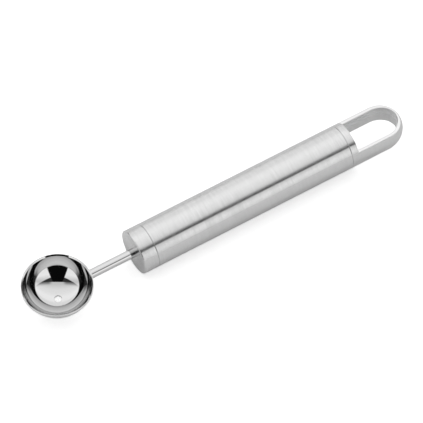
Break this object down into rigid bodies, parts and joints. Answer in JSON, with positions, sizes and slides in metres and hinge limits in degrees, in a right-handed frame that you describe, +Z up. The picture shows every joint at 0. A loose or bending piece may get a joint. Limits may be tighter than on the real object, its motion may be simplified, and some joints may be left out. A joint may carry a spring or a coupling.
{
  "type": "melon baller",
  "caption": "Melon baller with a round scoop and drain hole, a round shank, a tubular handle and a slotted hanging loop.",
  "frame": {"origin": "under the middle of the whole length, at the height of the table that the handle lies on", "axes": "+X along the handle from the scoop to the hanging loop, +Y across, +Z up out of the open scoop"},
  "size_m": [0.1816, 0.03, 0.0197],
  "materials": {
    "polished_steel": "mirror-polished stainless steel",
    "satin_steel": "stainless steel, turned and brushed satin",
    "weld_metal": "stainless weld metal, as laid",
    "epoxy": "cured epoxy adhesive"
  },
  "bodies": {
    "root": {"scoop_bowl": "polished_steel", "shank": "polished_steel", "scoop_weld": "polished_steel", "front_cap": "satin_steel", "handle_tube": "satin_steel", "hanger_cap": "satin_steel", "tail_weld": "weld_metal", "front_bond": "epoxy", "rear_bond": "epoxy"}
  },
  "joints": []
}
